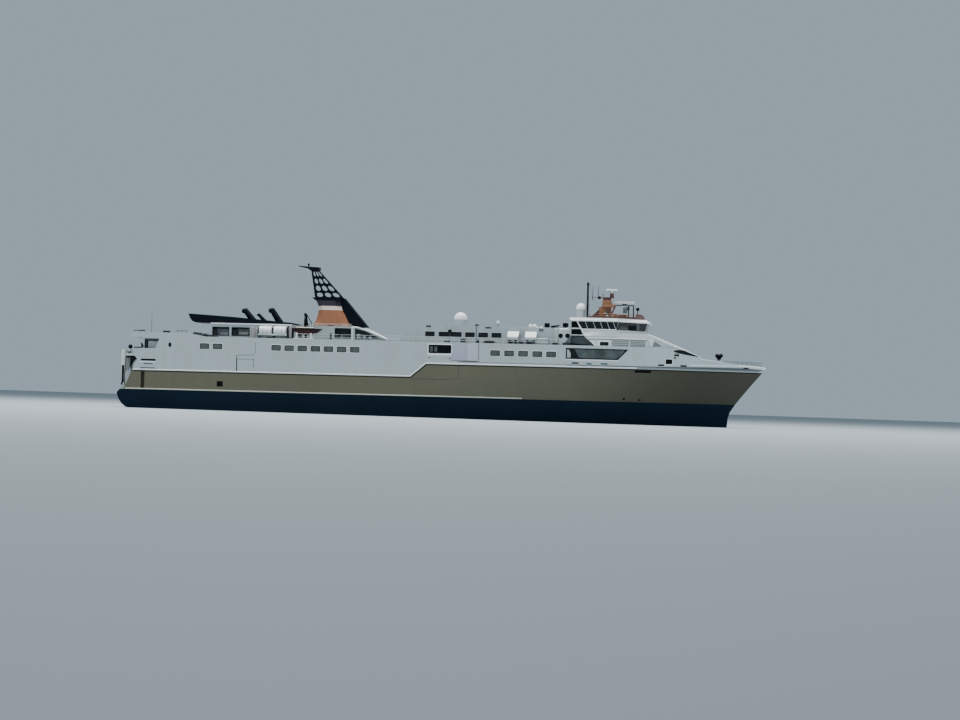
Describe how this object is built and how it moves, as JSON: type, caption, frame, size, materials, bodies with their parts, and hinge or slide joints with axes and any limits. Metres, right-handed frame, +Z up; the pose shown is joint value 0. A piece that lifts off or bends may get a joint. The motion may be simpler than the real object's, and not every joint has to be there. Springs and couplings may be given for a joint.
{
  "type": "scale model passenger ferry",
  "caption": "Monohull passenger and vehicle ferry with raked bow, bridge forward, latticed funnel, stern ramp and waterjets, as a one to ten scale model.",
  "frame": {"origin": "Centre line, half way along the length overall, at the waterline the ship floats at on an even keel.", "axes": "+X towards the bow, +Y to port, +Z up."},
  "size_m": [9.499, 1.746, 2.649],
  "materials": {
    "boot_paint": "satin",
    "tan_paint": "satin",
    "white_paint": "satin",
    "deck_paint": "matte",
    "black_paint": "satin",
    "orange_paint": "satin",
    "rose_paint": "satin",
    "purple_paint": "satin",
    "mast_paint": "satin",
    "grey_paint": "satin",
    "radome": "gloss",
    "boat_shell": "gloss",
    "window_glass": "gloss",
    "console_plastic": "matte",
    "jet_steel": "brushed"
  },
  "bodies": {
    "ship": {"hull_lower": "boot_paint", "hull_band": "tan_paint", "saloon_deck": "deck_paint", "weather_deck": "deck_paint", "transom_frame": "white_paint", "aft_screen": "white_paint", "visor_roof": "white_paint", "aft_house": "white_paint", "exhaust_casing": "black_paint", "funnel_house": "white_paint", "funnel_casing": "orange_paint", "funnel_light_band": "rose_paint", "funnel_dark_band": "purple_paint", "funnel_top": "black_paint", "forward_house": "white_paint", "antenna_dome_mid": "radome", "antenna_dome_fore": "radome", "bridge_base": "white_paint", "wheelhouse": "white_paint", "wheelhouse_glass": "window_glass", "wheelhouse_roof": "white_paint", "bridge_console": "console_plastic", "front_fairing": "white_paint", "main_mast": "black_paint", "radar_mast": "mast_paint", "searchlight": "black_paint", "rescue_boat": "boat_shell", "windlass": "grey_paint", "jet_housings": "jet_steel", "side_wall_stbd": "white_paint", "saloon_glass_stbd": "window_glass", "house_glass_stbd": "window_glass", "lounge_glass_stbd": "window_glass", "raft_rack_stbd": "radome", "raft_boxes_stbd": "radome", "side_wall_port": "white_paint", "saloon_glass_port": "window_glass", "house_glass_port": "window_glass", "lounge_glass_port": "window_glass", "raft_rack_port": "radome", "raft_boxes_port": "radome"},
    "ramp": {"stern_ramp": "black_paint"},
    "shell_door_s": {"shell_door_stbd": "white_paint"},
    "shell_door_p": {"shell_door_port": "white_paint"},
    "scanner_top": {"radar_scanner_top": "radome"},
    "scanner_low": {"radar_scanner_low": "radome"},
    "davit": {"boat_davit": "black_paint"},
    "nozzle_1": {"jet_nozzle_1": "jet_steel"},
    "bucket_1": {"jet_bucket_1": "jet_steel"},
    "nozzle_2": {"jet_nozzle_2": "jet_steel"},
    "bucket_2": {"jet_bucket_2": "jet_steel"},
    "nozzle_3": {"jet_nozzle_3": "jet_steel"},
    "bucket_3": {"jet_bucket_3": "jet_steel"},
    "nozzle_4": {"jet_nozzle_4": "jet_steel"},
    "bucket_4": {"jet_bucket_4": "jet_steel"}
  },
  "joints": [
    {"name": "stern_ramp_hinge", "type": "hinge", "parent": "ship", "child": "ramp", "pos_m": [-4.707, 0, 0.345], "axis": [0, -1, 0], "range_deg": [0, 98]},
    {"name": "shell_door_hinge_stbd", "type": "hinge", "parent": "ship", "child": "shell_door_s", "pos_m": [-2.7, -0.869, 0.697], "axis": [0, 0, 1], "range_deg": [0, 100]},
    {"name": "shell_door_hinge_port", "type": "hinge", "parent": "ship", "child": "shell_door_p", "pos_m": [-2.7, 0.869, 0.697], "axis": [0, 0, -1], "range_deg": [0, 100]},
    {"name": "scanner_top_spin", "type": "hinge", "parent": "ship", "child": "scanner_top", "pos_m": [2.466, 0, 1.93], "axis": [0, 0, 1], "continuous": true},
    {"name": "scanner_low_spin", "type": "hinge", "parent": "ship", "child": "scanner_low", "pos_m": [2.655, 0, 1.76], "axis": [0, 0, 1], "continuous": true},
    {"name": "davit_slew", "type": "hinge", "parent": "ship", "child": "davit", "pos_m": [-1.99, -0.58, 1.2], "axis": [0, 0, 1], "range_deg": [-90, 90]},
    {"name": "jet_steer_1", "type": "hinge", "parent": "ship", "child": "nozzle_1", "pos_m": [-4.59, -0.48, -0.075], "axis": [0, 0, 1], "range_deg": [-25, 25]},
    {"name": "jet_reverse_1", "type": "hinge", "parent": "nozzle_1", "child": "bucket_1", "pos_m": [-4.6, -0.48, -0.075], "axis": [0, -1, 0], "range_deg": [0, 60]},
    {"name": "jet_steer_2", "type": "hinge", "parent": "ship", "child": "nozzle_2", "pos_m": [-4.59, -0.175, -0.075], "axis": [0, 0, 1], "range_deg": [-25, 25]},
    {"name": "jet_reverse_2", "type": "hinge", "parent": "nozzle_2", "child": "bucket_2", "pos_m": [-4.6, -0.175, -0.075], "axis": [0, -1, 0], "range_deg": [0, 60]},
    {"name": "jet_steer_3", "type": "hinge", "parent": "ship", "child": "nozzle_3", "pos_m": [-4.59, 0.175, -0.075], "axis": [0, 0, 1], "range_deg": [-25, 25]},
    {"name": "jet_reverse_3", "type": "hinge", "parent": "nozzle_3", "child": "bucket_3", "pos_m": [-4.6, 0.175, -0.075], "axis": [0, -1, 0], "range_deg": [0, 60]},
    {"name": "jet_steer_4", "type": "hinge", "parent": "ship", "child": "nozzle_4", "pos_m": [-4.59, 0.48, -0.075], "axis": [0, 0, 1], "range_deg": [-25, 25]},
    {"name": "jet_reverse_4", "type": "hinge", "parent": "nozzle_4", "child": "bucket_4", "pos_m": [-4.6, 0.48, -0.075], "axis": [0, -1, 0], "range_deg": [0, 60]}
  ]
}
